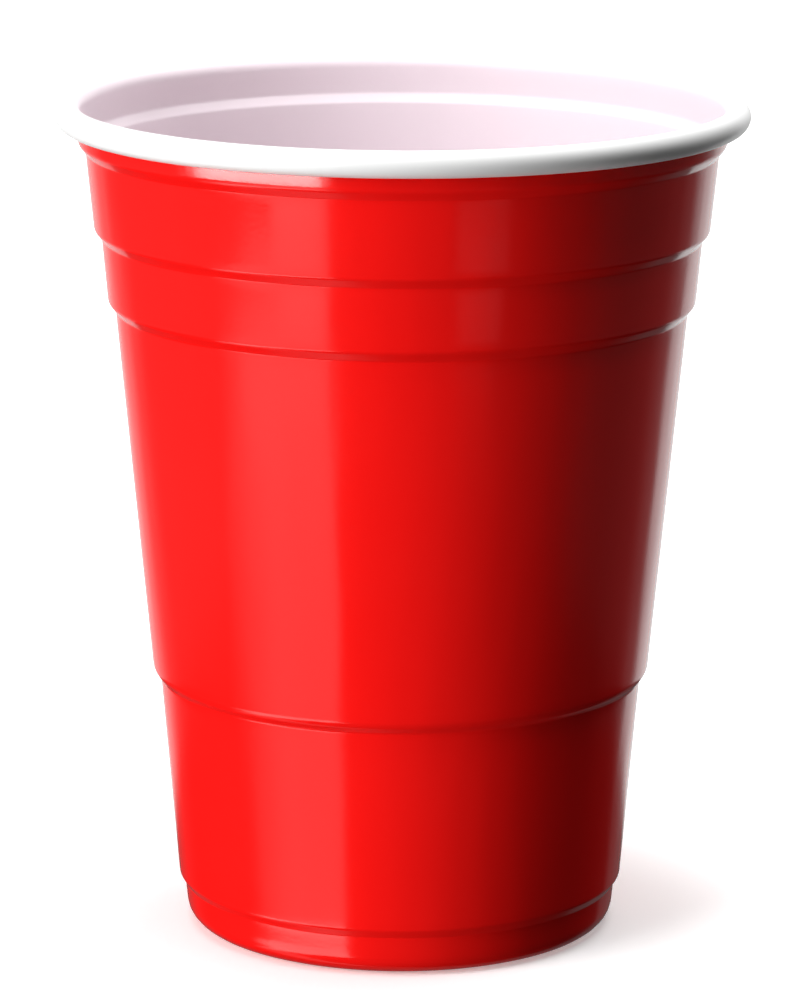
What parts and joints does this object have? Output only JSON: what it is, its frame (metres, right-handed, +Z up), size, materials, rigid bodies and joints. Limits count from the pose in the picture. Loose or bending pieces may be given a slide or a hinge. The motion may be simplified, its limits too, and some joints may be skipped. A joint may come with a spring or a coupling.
{
  "type": "plastic party cup",
  "caption": "Stackable tapered drinks cup of thin glossy plastic, red outside and white inside, with a rolled lip, stepped bands and a small base ring.",
  "frame": {"origin": "centre of the foot, on the plane that the cup stands on", "axes": "+Z up along the cup's axis, towards the rim; the cup is round about Z"},
  "size_m": [0.0968, 0.0968, 0.118],
  "materials": {
    "cup_plastic": "high gloss red outside; the same sheet is satin white inside and round the rolled lip"
  },
  "bodies": {
    "root": {"cup": "cup_plastic"}
  },
  "joints": []
}
